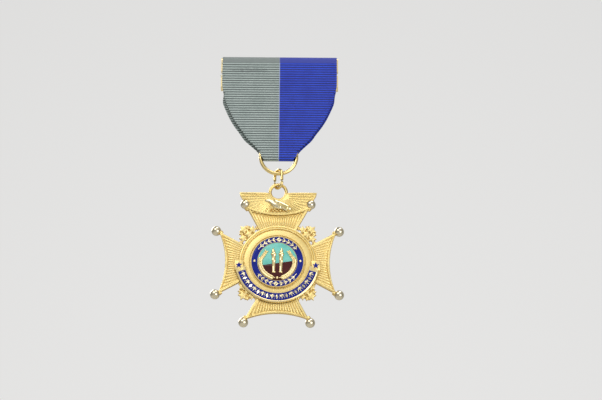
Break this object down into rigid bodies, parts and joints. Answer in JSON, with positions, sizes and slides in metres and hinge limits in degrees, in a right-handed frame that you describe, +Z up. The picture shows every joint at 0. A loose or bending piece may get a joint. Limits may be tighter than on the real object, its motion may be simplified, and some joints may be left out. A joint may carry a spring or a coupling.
{
  "type": "military service medal",
  "caption": "Service medal: two-coloured ribbon folded to a point from a pin brooch, two linked rings and a gilt cross with ball tips, eagle panel, enamelled seal and banner.",
  "frame": {"origin": "middle of the brooch's back face, where it lies against the coat", "axes": "+Z up the medal as it hangs, +X to the right seen from the front, +Y towards the wearer, so the front faces -Y"},
  "size_m": [0.0394, 0.0077, 0.0857],
  "materials": {
    "gold_satin": "gilt, matt struck field",
    "gold_polished": "gilt, polished high",
    "gold_wire": "gilt drawn wire",
    "pin_wire": "plated spring wire",
    "enamel_blue": "opaque hard enamel, stoned and polished",
    "enamel_sky": "opaque hard enamel",
    "enamel_ground": "opaque hard enamel",
    "ribbon_grosgrain": "ribbed ribbon, left half grey and right half royal blue",
    "tacking_thread": "cotton thread"
  },
  "bodies": {
    "brooch": {"brooch_tray": "gold_polished", "clamp_plate": "gold_satin", "clamp_rivets": "gold_satin", "hinge_bracket": "gold_satin", "hinge_rivet": "gold_satin", "catch_bracket": "gold_satin", "ribbon_wrap": "ribbon_grosgrain"},
    "pin": {"pin_stem": "pin_wire"},
    "lock": {"catch_lock": "gold_polished"},
    "drape": {"ribbon_drape": "ribbon_grosgrain", "drape_stitches": "tacking_thread"},
    "ring": {"suspension_ring": "gold_wire"},
    "link": {"jump_ring": "gold_wire"},
    "pendant": {"cross_body": "gold_satin", "eagle_badge": "gold_polished", "ball_finials": "gold_polished", "seal_plate": "gold_polished", "seal_ring_enamel": "enamel_blue", "sky_enamel": "enamel_sky", "ground_enamel": "enamel_ground", "seal_posts": "gold_satin", "banner": "gold_polished", "banner_enamel": "enamel_blue", "star_enamels": "enamel_blue", "banner_posts": "gold_satin"}
  },
  "joints": [
    {"name": "pin_open", "type": "hinge", "parent": "brooch", "child": "pin", "pos_m": [-0.012, 0.0022, 0], "axis": [0, 0, 1], "range_deg": [0, 110]},
    {"name": "catch_turn", "type": "hinge", "parent": "brooch", "child": "lock", "pos_m": [0.0096, 0.0022, 0], "axis": [1, 0, 0], "range_deg": [-120, 0]},
    {"name": "ribbon_swing", "type": "hinge", "parent": "brooch", "child": "drape", "pos_m": [0, -0.0022, -0.00655], "axis": [1, 0, 0], "range_deg": [-60, 20]},
    {"name": "ring_turn", "type": "hinge", "parent": "drape", "child": "ring", "pos_m": [0, -0.0022, -0.02695], "axis": [0, 1, 0], "range_deg": [-40, 40]},
    {"name": "jump_ring_swing", "type": "hinge", "parent": "ring", "child": "link", "pos_m": [0, -0.0022, -0.03234], "axis": [1, 0, 0], "range_deg": [-75, 75]},
    {"name": "pendant_sway", "type": "hinge", "parent": "link", "child": "pendant", "pos_m": [0, -0.0022, -0.03828], "axis": [0, 1, 0], "range_deg": [-30, 30]}
  ]
}
